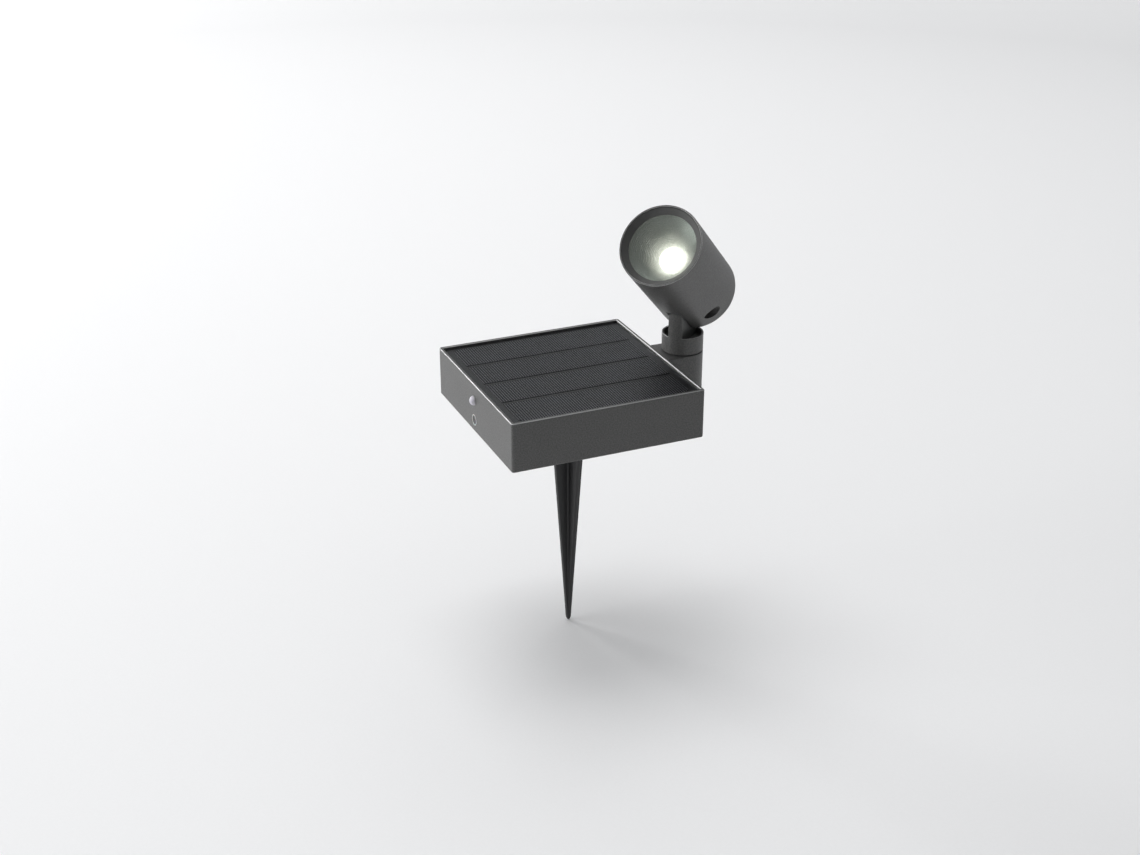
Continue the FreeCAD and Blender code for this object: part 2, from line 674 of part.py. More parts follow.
def make_sensor_board():
    face = "sensor_face + board_thick / 2"
    height = "sensor_high - sensor_low"
    board = block("sensor_width", "board_thick", height, "0", face, "sensor_low")
    points = [("sensor_screw_x * %d" % side, "sensor_face", "sensor_screw_z") for side in (-1, 1)]
    holes = [rod("tiny_screw + play * 2", "board_thick", point, "y") for point in points]
    piece(cut(board, *holes), "sensor_board")
    back = [shifted(point, "y", "board_thick") for point in points]
    group("sensor_screws", [screw("tiny_screw", "tiny_length", "tiny_screw * 1.9", "tiny_screw * 1.3",
                                  point, "y") for point in back])
    can = fuse(rod("dome_radius - can_inset", "can_length", ("0", "sensor_face", "dome_z"), "-y"),
               rod("dome_radius", "can_flange", ("0", "sensor_face", "dome_z"), "-y"))
    piece(can, "pir_sensor")
    half = "switch_width / 2"
    body = block("switch_width", "switch_depth", "switch_width", "0", "sensor_face - switch_depth / 2",
                 "button_z - " + half)
    well = rod("plunger_radius + play", "plunger_well", ("0", "sensor_face - switch_depth", "button_z"), "y")
    piece(cut(body, well), "tact_switch")


def make_front_controls():
    """The sensor dome, the light ring and the button, turned about axes along -Y."""
    wall = "inner_width / 2"
    front = "box_width / 2"
    inner = "dome_radius - dome_wall"
    dome = [(inner, wall + " - flange_thick"), ("flange_radius", wall + " - flange_thick"),
            ("flange_radius", wall), ("dome_radius", wall)]
    for radius, foot, step_list in (("dome_radius", "dome_reach", range(0, 7)),
                                    (inner, "dome_reach - dome_wall", range(6, -1, -1))):
        for step in step_list:
            angle = math.radians(15 * step)
            dome.append(("(%s) * %.6f" % (radius, math.cos(angle)),
                         front + " + (%s) * %.6f" % (foot, math.sin(angle))))
    turned("pir_lens", dome, FreeCAD.Placement(FreeCAD.Vector(0, 0, size("dome_z")), spin(0)), "-y")
    button = FreeCAD.Placement(FreeCAD.Vector(0, 0, size("button_z")), spin(0))
    turned("button_ring", [("button_bore + play", front + " - ring_depth"),
                           ("ring_radius", front + " - ring_depth"), ("ring_radius", front + " + 0.1"),
                           ("button_bore + play", front + " + 0.1")], button, "-y")
    groove = front + " - ring_depth - 1"
    tip = "switch_depth + plunger_stand - sensor_face"
    root = "button_radius - groove_depth"
    turned("power_button", [("0", tip), ("stem_radius", tip), ("stem_radius", wall + " - flange_thick"),
                            ("flange_radius", wall + " - flange_thick"), ("flange_radius", wall),
                            ("button_radius", wall), ("button_radius", groove + " - groove_width"),
                            (root, groove + " - groove_width"), (root, groove),
                            ("button_radius", groove), ("button_radius", front + " - 0.3"),
                            ("button_radius - 0.3", front), ("button_radius - 1.2", front),
                            ("0", front + " - 0.4")], button, "-y")
    middle = groove + " - groove_width / 2"
    seal = doc.addObject("Part::Torus", "Seal")
    seal.Placement.Rotation = AXIS_TURNS["-y"]
    drive(seal, ("0", "-(%s)" % middle, "button_z"), Radius1="button_radius - seal_round",
          Radius2="seal_round")
    piece(seal, "button_seal", None)
    plunger_at = ("0", "sensor_face - switch_depth - plunger_stand", "button_z")
    piece(rod("plunger_radius", "plunger_length", plunger_at, "y"), "switch_plunger", None)


# --- neck and swivel -----------------------------------------------------------------

def make_swivel():
    at_lug = FreeCAD.Placement(FreeCAD.Vector(0, size("lug_reach"), 0), spin(0))
    ring_bore = "bush_radius + bush_gap"
    turned("glide_ring", [(ring_bore, "box_height"), ("glide_radius", "box_height"),
                          ("glide_radius", "neck_low"), (ring_bore, "neck_low")], at_lug)
    running = "tube_radius + play"
    bush_low = "ledge_low - bush_lip"
    bush_top = "box_height + bush_stand"
    turned("swivel_bush", [(running, bush_low), ("bush_flange", bush_low), ("bush_flange", "ledge_low"),
                           ("bush_radius", "ledge_low"), ("bush_radius", bush_top),
                           (running, bush_top)], at_lug)
    turned("swivel_tube", [("tube_bore", "tube_low"), ("tube_radius", "tube_low"),
                           ("tube_radius", "tube_top"), ("tube_bore", "tube_top")], NECK)
    washer_low = "ledge_low - washer_low"
    turned("swivel_washer", [(running, washer_low), ("bush_flange", washer_low),
                             ("bush_flange", bush_low), (running, bush_low)], NECK)
    piece(nut("nut_radius", running, "nut_height", ("0", "0", washer_low + " - nut_height")),
          "swivel_nut", NECK)


def make_neck():
    def above_floor(edge):
        return edge.BoundBox.ZMax > size("neck_rim") and edge.BoundBox.ZLength > 1e-6

    rise = "pivot_height + tongue_rise"
    column = rod("neck_radius", rise + " - neck_low", ("0", "0", "neck_low"))
    slab = block("tongue_thick", "neck_radius * 3", rise + " - neck_low", z="neck_low")
    side = fuse(block("tongue_thick * 2", "neck_radius * 2", "pivot_height - neck_low", z="neck_low"),
                rod("neck_radius", "tongue_thick * 2", ("-tongue_thick", "0", "pivot_height"), "x"))
    tongue = common(column, slab, side)
    inside = rod("neck_radius - neck_wall", "neck_rim", ("0", "0", "neck_floor"))
    drum = cut(rod("neck_radius", "neck_rim - neck_low", ("0", "0", "neck_low")), inside)
    drum = rounded(drum, "edge_break", lambda edge: level_at(edge, size("neck_rim")))
    drum = rounded(drum, "edge_break", lambda edge: level_at(edge, size("neck_low")))
    tongue = rounded(tongue, "edge_break", above_floor)
    channel = rod("lead_channel", "tongue_rise * 5", ("0", "0", "tube_top - 2"))
    channel.Placement.Rotation = lean(size("lead_lean"))
    holes = [
        rod("tube_radius + play", "tube_top - neck_low + 1", ("0", "0", "neck_low - 1")),
        rod("pivot_radius + play", "tongue_thick * 2", ("-tongue_thick", "0", "pivot_height"), "x"),
        channel,
    ]
    piece(cut(fuse(drum, tongue), *holes), "neck", NECK)


# --- lamp head -----------------------------------------------------------------------

def pivot_at(x):
    return (x, "-pivot_drop", "0")


def spreader_points(z):
    points = []
    for degrees in (90, 210, 330):
        angle = math.radians(degrees)
        points.append(("spreader_ring * %.6f" % math.cos(angle),
                       "spreader_ring * %.6f" % math.sin(angle), z))
    return points


def make_head_housing():
    length = "head_front - head_back"
    outside = rod("head_radius", length, ("0", "0", "head_back"))
    outside = rounded(outside, "head_round", lambda edge: level_at(edge, size("head_back")))
    bored = cut(outside,
                rod("head_bore", length, ("0", "0", "head_back + head_floor")),
                rod("rim_bore", length, ("0", "0", "head_front - bezel_depth - bezel_thick - glass_thick"
                                         " - seal_height")))
    bored = rounded(bored, "edge_break", lambda edge: level_at(edge, size("head_front")))
    envelope = rod("head_radius", length, ("0", "0", "head_back"))
    envelope = rounded(envelope, "head_round", lambda edge: level_at(edge, size("head_back")))
    tunnel_low = "-head_radius"
    tunnel = block("slot_width + slot_wall * 2", "slot_roof + slot_wall + head_radius",
                   "slot_front + slot_wall - head_back", "0",
                   "(slot_roof + slot_wall - head_radius) / 2", "head_back")
    cheeks = rod("pivot_boss", "head_radius * 2", pivot_at("-head_radius"), "x")
    spreader_low = "spreader_top - spreader_thick"
    bosses = [rod("spreader_boss", "boss_length", point)
              for point in spreader_points(spreader_low + " - boss_length")]
    bosses = [common(boss, rod("head_bore + 0.5", length, ("0", "0", "head_back"))) for boss in bosses]
    solid = fuse(bored, common(envelope, fuse(tunnel, cheeks)), *bosses)
    slot = block("slot_width", "slot_roof + head_radius + 2", "slot_front - head_back + 2", "0",
                 "(slot_roof - head_radius - 2) / 2", "head_back - 2")
    holes = [
        slot,
        rod("pivot_radius + play", "head_radius * 2", pivot_at("-head_radius"), "x"),
        rod("access_radius", "head_radius", pivot_at("pivot_seat"), "x"),
        rod("access_radius", "head_radius", pivot_at("-nut_seat - nut_pocket"), "-x"),
        hexagon("lock_nut + play * 2", "nut_pocket", pivot_at("-nut_seat"), "-x"),
        rod("grommet_hole", "slot_wall + 2", ("0", "grommet_y", "slot_front - 1")),
    ]
    holes += [rod("screw_radius + play", "boss_length", point)
              for point in spreader_points(spreader_low + " - boss_length + 3")]
    piece(cut(solid, *holes), "head_housing", HEAD)


def make_front_glass():
    bezel_top = "head_front - bezel_rise"
    glass_top = "head_front - bezel_depth - bezel_thick"
    glass_low = glass_top + " - glass_thick"
    turned("front_bezel", [("mouth_radius", glass_top), ("glass_radius", glass_top),
                           ("glass_radius", bezel_top), ("glass_radius - bezel_lip", bezel_top),
                           ("mouth_radius", glass_top + " + bezel_lip")], HEAD)
    turned("front_glass", [("0", glass_low), ("glass_radius", glass_low), ("glass_radius", glass_top),
                           ("0", glass_top)], HEAD)
    seal_low = glass_low + " - seal_height"
    turned("glass_seal", [("head_bore", seal_low), ("glass_radius", seal_low),
                          ("glass_radius", glass_low), ("head_bore", glass_low)], HEAD)


def make_reflector():
    """A dish that flares from the emitter board to the glass."""
    low = "spreader_top + board_thick"
    high = "head_front - bezel_depth - bezel_thick - glass_thick"
    steps = 8
    dish = []
    for step in range(steps + 1):
        rise = step / steps
        radius = rise ** size("reflector_flare")
        dish.append(("reflector_throat + (reflector_mouth - reflector_throat) * %.6f" % radius,
                     low + " + reflector_foot + (%s - (%s) - reflector_foot - reflector_gap) * %.6f"
                     % (high, low, rise)))
    inside = dish[::-1]
    outside = [("%s + reflector_wall" % x, "%s - reflector_wall * 0.3" % z) for x, z in dish]
    outside[0] = ("reflector_throat + reflector_wall", low)
    inside.append(("reflector_throat", low))
    turned("reflector", outside + inside, HEAD)


def make_emitter():
    board_low = "spreader_top"
    board_top = "spreader_top + board_thick"
    points = [("emitter_screw_x * %d" % side, "0") for side in (-1, 1)]
    body = doc.addObject("PartDesign::Body", "emitter_board")
    sketch = sketch_on(body, "XY_Plane")
    sketch.setExpression(".AttachmentOffset.Base.z", cells(board_low))
    ring_hole(sketch, "emitter_board")
    for x, y in points:
        ring_hole(sketch, "small_screw + play * 2", x, y)
    pad = body.newObject("PartDesign::Pad", "emitter_board_pad")
    pad.Profile = sketch
    pad.setExpression("Length", cells("board_thick"))
    piece(body, "emitter_board", HEAD)
    turned("led_emitter", [("0", board_top), ("emitter_radius", board_top),
                           ("emitter_radius", board_top + " + emitter_thick * 0.6"),
                           ("emitter_radius - 0.8", board_top + " + emitter_thick"),
                           ("0", board_top + " + emitter_thick")], HEAD)
    group("emitter_screws", [screw("small_screw", "emitter_screw_length", "small_screw * 1.6",
                                   "small_screw * 0.7", (x, y, board_top), "z")
                             for x, y in points], HEAD)
    spreader_low = "spreader_top - spreader_thick"
    disc = rod("head_bore - 0.3", "spreader_thick", ("0", "0", spreader_low))
    screw_seats = spreader_points("spreader_top")
    holes = [rod("screw_radius + play * 2", "spreader_thick", point)
             for point in spreader_points(spreader_low)]
    holes += [rod("small_screw + play", "spreader_thick", (x, y, spreader_low)) for x, y in points]
    holes.append(rod("lead_radius + 0.5", "spreader_thick", ("0", "spreader_lead", spreader_low)))
    piece(cut(disc, *holes), "heat_spreader", HEAD)
    group("spreader_screws", [screw("screw_radius", "spreader_screw_length", "screw_radius * 1.8",
                                    "sink_height", point, "z")
                              for point in screw_seats], HEAD)


def make_tilt_hardware():
    piece(screw("pivot_radius", "pivot_seat + nut_seat + nut_pocket", "pivot_head", "pivot_cap",
                pivot_at("pivot_seat"), "x"), "tilt_screw", HEAD)
    piece(nut("lock_nut", "pivot_radius + play", "nut_pocket", pivot_at("-nut_seat"), "-x"),
          "tilt_nut", HEAD)
    washers = []
    for side, axis in ((1, "x"), (-1, "-x")):
        start = pivot_at("(tongue_thick / 2 + play) * %d" % side)
        washers.append(cut(rod("washer_radius", "washer_thick", start, axis),
                           rod("pivot_radius + play", "washer_thick", start, axis)))
    group("tilt_washers", washers, HEAD)
    grommet = FreeCAD.Placement(FreeCAD.Vector(0, size("grommet_y"), 0), spin(0))
    low = "slot_front"
    high = "slot_front + slot_wall"
    lip = "grommet_hole + grommet_flange"
    turned("lead_grommet", [("lead_radius + play", low + " - grommet_lip"), (lip, low + " - grommet_lip"),
                            (lip, low), ("grommet_hole", low), ("grommet_hole", high), (lip, high),
                            (lip, high + " + grommet_lip"),
                            ("lead_radius + play", high + " + grommet_lip")], HEAD * grommet)


make_housing()
make_panel()
make_bottom_cover()
make_spike()
make_battery()
make_control_board()
make_sensor_board()
make_front_controls()
make_swivel()
make_neck()
make_head_housing()
make_front_glass()
make_reflector()
make_emitter()
make_tilt_hardware()

doc.recompute()
failed = [item.Label for item in doc.Objects if "Invalid" in item.State or "Error" in item.State]
failed += [item.Label for item in pieces if item.Shape.isNull() or not item.Shape.isValid()]
if failed:
    raise RuntimeError("these objects failed: " + ", ".join(failed))

os.makedirs("parts", exist_ok=True)
for item in pieces:
    item.Shape.exportStep(os.path.join("parts", item.Label + ".step"))
    print("%-20s %2d solid(s) %12.1f mm3" % (item.Label, len(item.Shape.Solids), item.Shape.Volume))
print(len(pieces), "nodes")
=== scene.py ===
"""Looks of the solar garden light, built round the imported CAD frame.

Everything is in metres, in the row frame: +Z up, the origin under the middle of the
housing, the sensor face towards -Y and the lamp at the +Y side.
"""

import json
import math

import bmesh
import bpy
from mathutils import Matrix, Vector, noise


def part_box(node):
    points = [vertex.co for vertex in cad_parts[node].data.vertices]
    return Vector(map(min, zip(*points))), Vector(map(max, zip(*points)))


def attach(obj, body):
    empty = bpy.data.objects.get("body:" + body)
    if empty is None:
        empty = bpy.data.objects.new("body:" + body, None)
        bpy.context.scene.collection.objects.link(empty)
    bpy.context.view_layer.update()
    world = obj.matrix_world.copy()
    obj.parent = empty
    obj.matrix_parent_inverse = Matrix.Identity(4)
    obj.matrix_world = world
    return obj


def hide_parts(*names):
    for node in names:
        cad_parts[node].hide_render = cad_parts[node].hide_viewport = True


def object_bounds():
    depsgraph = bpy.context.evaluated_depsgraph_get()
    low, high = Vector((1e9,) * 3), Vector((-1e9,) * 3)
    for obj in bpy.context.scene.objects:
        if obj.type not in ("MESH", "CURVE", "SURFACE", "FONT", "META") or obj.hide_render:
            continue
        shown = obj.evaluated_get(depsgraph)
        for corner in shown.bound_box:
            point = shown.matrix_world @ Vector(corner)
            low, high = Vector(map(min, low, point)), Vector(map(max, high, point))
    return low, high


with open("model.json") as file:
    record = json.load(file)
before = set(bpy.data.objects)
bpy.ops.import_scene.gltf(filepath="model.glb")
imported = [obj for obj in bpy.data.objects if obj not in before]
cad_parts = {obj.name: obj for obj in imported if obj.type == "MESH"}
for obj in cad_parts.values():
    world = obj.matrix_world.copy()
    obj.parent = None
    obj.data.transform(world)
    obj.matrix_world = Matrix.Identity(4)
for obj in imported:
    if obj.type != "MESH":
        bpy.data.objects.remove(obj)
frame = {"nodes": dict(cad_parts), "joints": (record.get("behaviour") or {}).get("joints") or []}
cad_low, cad_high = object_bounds()
nodes = frame["nodes"]

MM = 0.001
UP = Vector((0, 0, 1))
FRONT = Vector((0, -1, 0))
TURN_STEPS = 128
SMALL_TURN_STEPS = 64
ON_AXIS = 1e-7
SMOOTH_ANGLE = math.radians(35)


# --- measuring the frame -------------------------------------------------------------

def middle(node):
    """The centre of a CAD node's box."""
    low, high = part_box(node)
    return (low + high) / 2


def measure(node, at, axis):
    """Reach of a CAD node along an axis, lowest and highest, and its radii about it."""
    heights = []
    radii = []
    for vertex in nodes[node].data.vertices:
        offset = vertex.co - at
        height = offset.dot(axis)
        heights.append(height)
        radii.append((offset - axis * height).length)
    return min(heights), max(heights), min(radii), max(radii)


def axes(at, forward, across):
    """A matrix whose Z is forward and whose X is as near across as it can be."""
    z = forward.normalized()
    y = z.cross(across).normalized()
    x = y.cross(z)
    turn = Matrix((x, y, z)).transposed().to_4x4()
    return Matrix.Translation(at) @ turn


tilt = next(joint for joint in frame["joints"] if joint["name"] == "head_tilt")
TILT_AXIS = -Vector(tilt["axis"])
LAMP_AT = middle("led_emitter")
BEAM = (middle("front_glass") - LAMP_AT).normalized()
LAMP = axes(LAMP_AT, BEAM, TILT_AXIS)
HEAD_RIM = measure("head_housing", Vector((0, 0, 0)), BEAM)[1]

# The drum's rim is measured beside the tongue that rises from its middle.
BESIDE_TONGUE = 8 * MM
NECK_RIM = max(vertex.co.z for vertex in nodes["neck"].data.vertices
               if abs((vertex.co - LAMP_AT).dot(TILT_AXIS)) > BESIDE_TONGUE)


# --- mesh work -----------------------------------------------------------------------

def finished(name, mesh, body, material):
    """Make a piece of a bmesh, shade it and let it ride on its body."""
    bmesh.ops.recalc_face_normals(mesh, faces=mesh.faces)
    data = bpy.data.meshes.new(name)
    mesh.to_mesh(data)
    mesh.free()
    data.materials.append(material)
    data.shade_smooth()
    data.set_sharp_from_angle(angle=SMOOTH_ANGLE)
    piece = bpy.data.objects.new(name, data)
    bpy.context.scene.collection.objects.link(piece)
    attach(piece, body)
    return piece


def add_turned(mesh, profile, place, steps=TURN_STEPS, ripple=None):
    """Add a closed turned body: a loop of (radius, height) pairs spun about Z."""
    rings = []
    for radius, height in profile:
        if radius < ON_AXIS:
            rings.append([mesh.verts.new(place @ Vector((0, 0, height)))])
            continue
        ring = []
        for step in range(steps):
            angle = 2 * math.pi * step / steps
            point = Vector((radius * math.cos(angle), radius * math.sin(angle), height))
            if ripple:
                point = ripple(point)
            ring.append(mesh.verts.new(place @ point))
        rings.append(ring)
    for first, second in zip(rings, rings[1:] + rings[:1]):
        if len(first) == 1 and len(second) == 1:
            continue
        for step in range(steps):
            after = (step + 1) % steps
            corners = [first[step % len(first)], first[after % len(first)],
                       second[after % len(second)], second[step % len(second)]]
            mesh.faces.new(list(dict.fromkeys(corners)))


def add_loft(mesh, sections):
    """Add a closed body through rings of points, one ring for each section."""
    rings = [[mesh.verts.new(point) for point in section] for section in sections]
    count = len(rings[0])
    for first, second in zip(rings, rings[1:]):
        for step in range(count):
            after = (step + 1) % count
            mesh.faces.new([first[step], first[after], second[after], second[step]])
    mesh.faces.new(rings[0][::-1])
    mesh.faces.new(rings[-1])


def bow(angles):
    """Cosine and sine of each angle, the angles in degrees."""
    return [(math.cos(math.radians(angle)), math.sin(math.radians(angle))) for angle in angles]


def arc(centre, radius, start, end, steps):
    """Points of an arc in a plane, both ends included, angles in degrees."""
    points = []
    for step in range(steps + 1):
        angle = math.radians(start + (end - start) * step / steps)
        points.append((centre[0] + radius * math.cos(angle),
                       centre[1] + radius * math.sin(angle)))
    return points


# --- materials -----------------------------------------------------------------------

# Sockets of the Mix node that carry its two colours and their mix.
MIX_FIRST = 6
MIX_SECOND = 7
MIX_RESULT = 2

# A rim's edge faces, where a highlight is painted, lean between these, as the cosine to the rim's
# axis.
LEAST_LEAN = 0.3
MOST_LEAN = 0.95
# The colour of the highlight painted on the rims' edge faces.
PAINTED_RIM_HIGHLIGHT = (0.4, 0.4, 0.4)
BEVEL_SAMPLES = 6
TONE_CONTRAST = 0.12


class Finish:
    """A Principled material, patterned in the piece's own coordinates."""

    def __init__(self, name, colour, roughness, **constants):
        self.material = bpy.data.materials.new(name)
        self.material.use_nodes = True
        self.tree = self.material.node_tree
        self.shader = self.tree.nodes["Principled BSDF"]
        self.output = self.tree.nodes["Material Output"]
        self.place = self.add("ShaderNodeTexCoord").outputs["Object"]
        self.set("Base Color", (*colour, 1))
        self.set("Roughness", roughness)
        for socket, value in constants.items():
            self.set(socket.replace("_", " "), value)

    def add(self, kind, **settings):
        """Add a shader node with some of its settings."""
        node = self.tree.nodes.new(kind)
        for key, value in settings.items():
            setattr(node, key, value)
        return node

    def set(self, socket, value):
        self.shader.inputs[socket].default_value = value

    def link(self, source, target):
        self.tree.links.new(source, target)

    def stretched(self, x, y, z):
        """The piece's coordinates, scaled along each axis."""
        mapping = self.add("ShaderNodeMapping")
        mapping.inputs["Scale"].default_value = (x, y, z)
        self.link(self.place, mapping.inputs["Vector"])
        return mapping.outputs["Vector"]

    def noise(self, size, detail=2.0, place=None):
        """Noise whose blotches are about size metres across."""
        node = self.add("ShaderNodeTexNoise")
        node.inputs["Scale"].default_value = 1 / size
        node.inputs["Detail"].default_value = detail
        self.link(place or self.place, node.inputs["Vector"])
        return node.outputs["Fac"]

    def grains(self, size):
        """Distance to scattered points that are about size metres apart."""
        node = self.add("ShaderNodeTexVoronoi")
        node.inputs["Scale"].default_value = 1 / size
        self.link(self.place, node.inputs["Vector"])
        return node.outputs["Distance"]

    def waves(self, size, direction, distortion=0.0):
        """Bands that repeat every size metres; at a scale of 1 they would every pi / 10."""
        node = self.add("ShaderNodeTexWave", bands_direction=direction)
        node.inputs["Scale"].default_value = math.pi / 10 / size
        node.inputs["Distortion"].default_value = distortion
        self.link(self.place, node.inputs["Vector"])
        return node.outputs["Fac"]

    def ramp(self, factor, low, high):
        """Spread a pattern's values between low and high to the whole of 0 to 1."""
        node = self.add("ShaderNodeMapRange")
        node.inputs["From Min"].default_value = low
        node.inputs["From Max"].default_value = high
        self.link(factor, node.inputs["Value"])
        return node.outputs["Result"]

    def blend(self, factor, first, second):
        """A colour between two, each a colour or a socket."""
        node = self.add("ShaderNodeMix", data_type="RGBA")
        self.link(factor, node.inputs["Factor"])
        for socket, value in ((MIX_FIRST, first), (MIX_SECOND, second)):
            if isinstance(value, tuple):
                node.inputs[socket].default_value = (*value, 1)
            else:
                self.link(value, node.inputs[socket])
        return node.outputs[MIX_RESULT]

    def colours(self, factor, first, second):
        """Colour the surface with a blend of two colours."""
        self.link(self.blend(factor, first, second), self.shader.inputs["Base Color"])

    def roughness(self, factor, low, high):
        """Let a pattern drive the roughness from low to high."""
        node = self.add("ShaderNodeMapRange")
        node.inputs["To Min"].default_value = low
        node.inputs["To Max"].default_value = high
        self.link(factor, node.inputs["Value"])
        self.link(node.outputs["Result"], self.shader.inputs["Roughness"])

    def compare(self, operation, source, limit):
        """1 where the source is greater or less than the limit, else 0."""
        node = self.add("ShaderNodeMath", operation=operation)
        self.link(source, node.inputs[0])
        node.inputs[1].default_value = limit
        return node.outputs["Value"]

    def along(self, source, axis):
        """A vector's component along an axis."""
        node = self.add("ShaderNodeVectorMath", operation="DOT_PRODUCT")
        self.link(source, node.inputs[0])
        node.inputs[1].default_value = axis
        return node.outputs["Value"]

    def painted_highlight_rim(self, axis, level, depth, reach):
        """1 on a rim's slanted faces, within depth below its level and up to reach along Y: where
        a highlight is painted.
        """
        normal = self.add("ShaderNodeTexCoord").outputs["Normal"]
        lean = self.along(normal, axis)
        parts = [self.compare("GREATER_THAN", self.along(self.place, axis), level - depth),
                 self.compare("GREATER_THAN", lean, LEAST_LEAN),
                 self.compare("LESS_THAN", lean, MOST_LEAN),
                 self.compare("LESS_THAN", self.along(self.place, (0, 1, 0)), reach)]
        edge = parts[0]
        for part in parts[1:]:
            both = self.add("ShaderNodeMath", operation="MULTIPLY")
            self.link(edge, both.inputs[0])
            self.link(part, both.inputs[1])
            edge = both.outputs["Value"]
        return edge

    def round_edges(self, radius):
        """Shade edges as if they were rounded, as a thick coat leaves them."""
        node = self.add("ShaderNodeBevel", samples=BEVEL_SAMPLES)
        node.inputs["Radius"].default_value = radius
        self.link(node.outputs["Normal"], self.shader.inputs["Normal"])

    def bump(self, height, depth):
        """Raise the surface by a pattern, up to depth metres; calls can be stacked."""
        node = self.add("ShaderNodeBump")
        node.inputs["Distance"].default_value = depth
        self.link(height, node.inputs["Height"])
        before = self.shader.inputs["Normal"].links
        if before:
            self.link(before[0].from_socket, node.inputs["Normal"])
        self.link(node.outputs["Normal"], self.shader.inputs["Normal"])


def shade(colour, factor):
    """A colour made darker or lighter."""
    return tuple(channel * factor for channel in colour)


def plain_finish(name, colour, roughness, blotch, grain, depth, **constants):
    """Slight blotches of tone and gloss, with a fine grain in the surface."""
    finish = Finish(name, colour, roughness, **constants)
    tone = finish.ramp(finish.noise(blotch, 4.0), 0.3, 0.7)
    finish.colours(tone, shade(colour, 1 - TONE_CONTRAST), shade(colour, 1 + TONE_CONTRAST))
    finish.roughness(finish.noise(blotch / 3), roughness * 0.88, min(1.0, roughness * 1.12))
    finish.bump(finish.noise(grain, 3.0), depth)
    return finish.material


def powder_coat(name, axis, level, depth, reach=1.0):
    """Matt charcoal powder coat, with a highlight painted as a light metallic colour on the edges
    of the rim at a level on an axis.
    """
    colour = (0.067, 0.067, 0.0655)
    finish = Finish(name, colour, 0.45, Specular_IOR_Level=0.6)
    speck = finish.ramp(finish.noise(1.0 * MM, 3.0), 0.35, 0.65)
    cloud = finish.ramp(finish.noise(22 * MM, 3.0), 0.3, 0.7)
    darker = finish.blend(speck, shade(colour, 0.72), shade(colour, 1.26))
    lighter = finish.blend(speck, shade(colour, 0.8), shade(colour, 1.34))
    # Painted highlight: the rim's edge faces are turned light and metallic.
    edge = finish.painted_highlight_rim(axis, level, depth, reach)
    finish.colours(edge, finish.blend(cloud, darker, lighter), PAINTED_RIM_HIGHLIGHT)
    finish.link(edge, finish.shader.inputs["Metallic"])
    finish.roughness(finish.noise(1.5 * MM), 0.38, 0.52)
    finish.round_edges(0.5 * MM)
    finish.bump(finish.noise(1.3 * MM, 2.0), 0.07 * MM)
    finish.bump(finish.grains(0.7 * MM), 0.05 * MM)
    return finish.material


def spike_plastic():
    """Glass-filled black nylon, satin, with faint flow lines down its length."""
    colour = (0.012, 0.012, 0.013)
    finish = Finish("spike_plastic", colour, 0.46)
    flow = finish.noise(2.5 * MM, 3.0, finish.stretched(1, 1, 0.06))
    finish.colours(finish.ramp(flow, 0.3, 0.7), shade(colour, 0.85), shade(colour, 1.25))
    finish.roughness(flow, 0.4, 0.54)
    finish.bump(finish.noise(0.6 * MM, 2.0), 0.012 * MM)
    finish.bump(flow, 0.03 * MM)
    return finish.material


def solar_cells():
    """Blue-black silicon under an anti-reflection coat, in faint clouds of tone."""
    dark = (0.004, 0.0041, 0.005)
    light = (0.008, 0.0085, 0.011)
    finish = Finish("solar_cells", dark, 0.32, Specular_IOR_Level=0.15)
    cloud = finish.ramp(finish.noise(26 * MM, 3.0), 0.35, 0.65)
    finish.colours(cloud, dark, light)
    finish.roughness(finish.noise(0.8 * MM), 0.26, 0.38)
    finish.bump(finish.noise(0.25 * MM, 1.0), 0.004 * MM)
    return finish.material


def board_material(name, mask, copper):
    """A circuit board: solder mask over straight copper runs that show through faintly."""
    finish = Finish(name, mask, 0.38)
    across = finish.ramp(finish.waves(2.2 * MM, "X", 1.2), 0.62, 0.7)
    along = finish.ramp(finish.waves(3.1 * MM, "Y", 1.2), 0.74, 0.82)
    patches = finish.ramp(finish.noise(9 * MM, 0.0), 0.48, 0.5)
    runs = finish.blend(patches, across, along)
    finish.colours(runs, mask, copper)
    finish.roughness(finish.noise(2 * MM), 0.3, 0.45)
    finish.bump(runs, 0.02 * MM)
    return finish.material


def battery_wrap():
    """Shrunk PVC sleeve over a cell, with faint wrinkles round it and a paler band."""
    finish = Finish("battery_wrap", (0.03, 0.2, 0.24), 0.3)
    wrinkle = finish.noise(1.4 * MM, 3.0, finish.stretched(0.25, 1, 1))
    band = finish.ramp(finish.waves(24 * MM, "X"), 0.9, 0.94)
    sleeve = finish.blend(wrinkle, (0.024, 0.17, 0.21), (0.034, 0.23, 0.27))
    finish.colours(band, sleeve, (0.5, 0.52, 0.5))
    finish.roughness(wrinkle, 0.24, 0.36)
    finish.bump(wrinkle, 0.03 * MM)
    return finish.material


def brushed_metal(name, colour, roughness, size, stretch):
    """Turned or rolled metal with fine marks along one direction."""
    finish = Finish(name, colour, roughness, Metallic=1.0)
    marks = finish.noise(size, 4.0, finish.stretched(*stretch))
    finish.colours(marks, shade(colour, 0.86), shade(colour, 1.08))
    finish.roughness(marks, roughness * 0.75, roughness * 1.3)
    finish.bump(marks, 0.006 * MM)
    return finish.material


def reflector_satin():
    """Dark anodised dish with a fine satin orange peel."""
    colour = (0.275, 0.278, 0.265)
    finish = Finish("reflector_satin", colour, 0.36, Metallic=0.75)
    speck = finish.ramp(finish.noise(0.55 * MM, 2.0), 0.35, 0.65)
    finish.colours(speck, shade(colour, 0.85), shade(colour, 1.15))
    finish.roughness(finish.noise(1.2 * MM), 0.26, 0.4)
    finish.bump(finish.grains(1.0 * MM), 0.11 * MM)
    return finish.material


